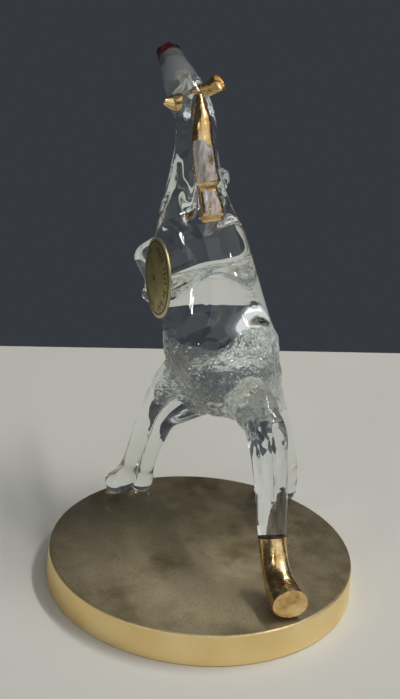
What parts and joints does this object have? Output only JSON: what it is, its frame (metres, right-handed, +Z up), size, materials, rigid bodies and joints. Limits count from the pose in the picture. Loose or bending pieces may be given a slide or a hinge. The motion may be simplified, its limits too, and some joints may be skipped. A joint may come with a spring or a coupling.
{
  "type": "horse figurine",
  "caption": "Rearing horse figurine of solid clear glass with gold mane, ears and tail end, standing on a round satin brass base.",
  "frame": {"origin": "middle of the base's underside", "axes": "+Z up, the horse faces -Y, its left side is +X"},
  "size_m": [0.09, 0.1244, 0.1434],
  "materials": {
    "clear_glass": "polished clear glass, with gold lustre on the mane, ears and tail end and dark red on the muzzle",
    "brass": "satin brass, tarnished brown on top",
    "gold_foil": "olive gold foil with dark printed rings and strokes"
  },
  "bodies": {
    "root": {"glass_horse": "clear_glass", "base": "brass", "foil_seal": "gold_foil"}
  },
  "joints": []
}
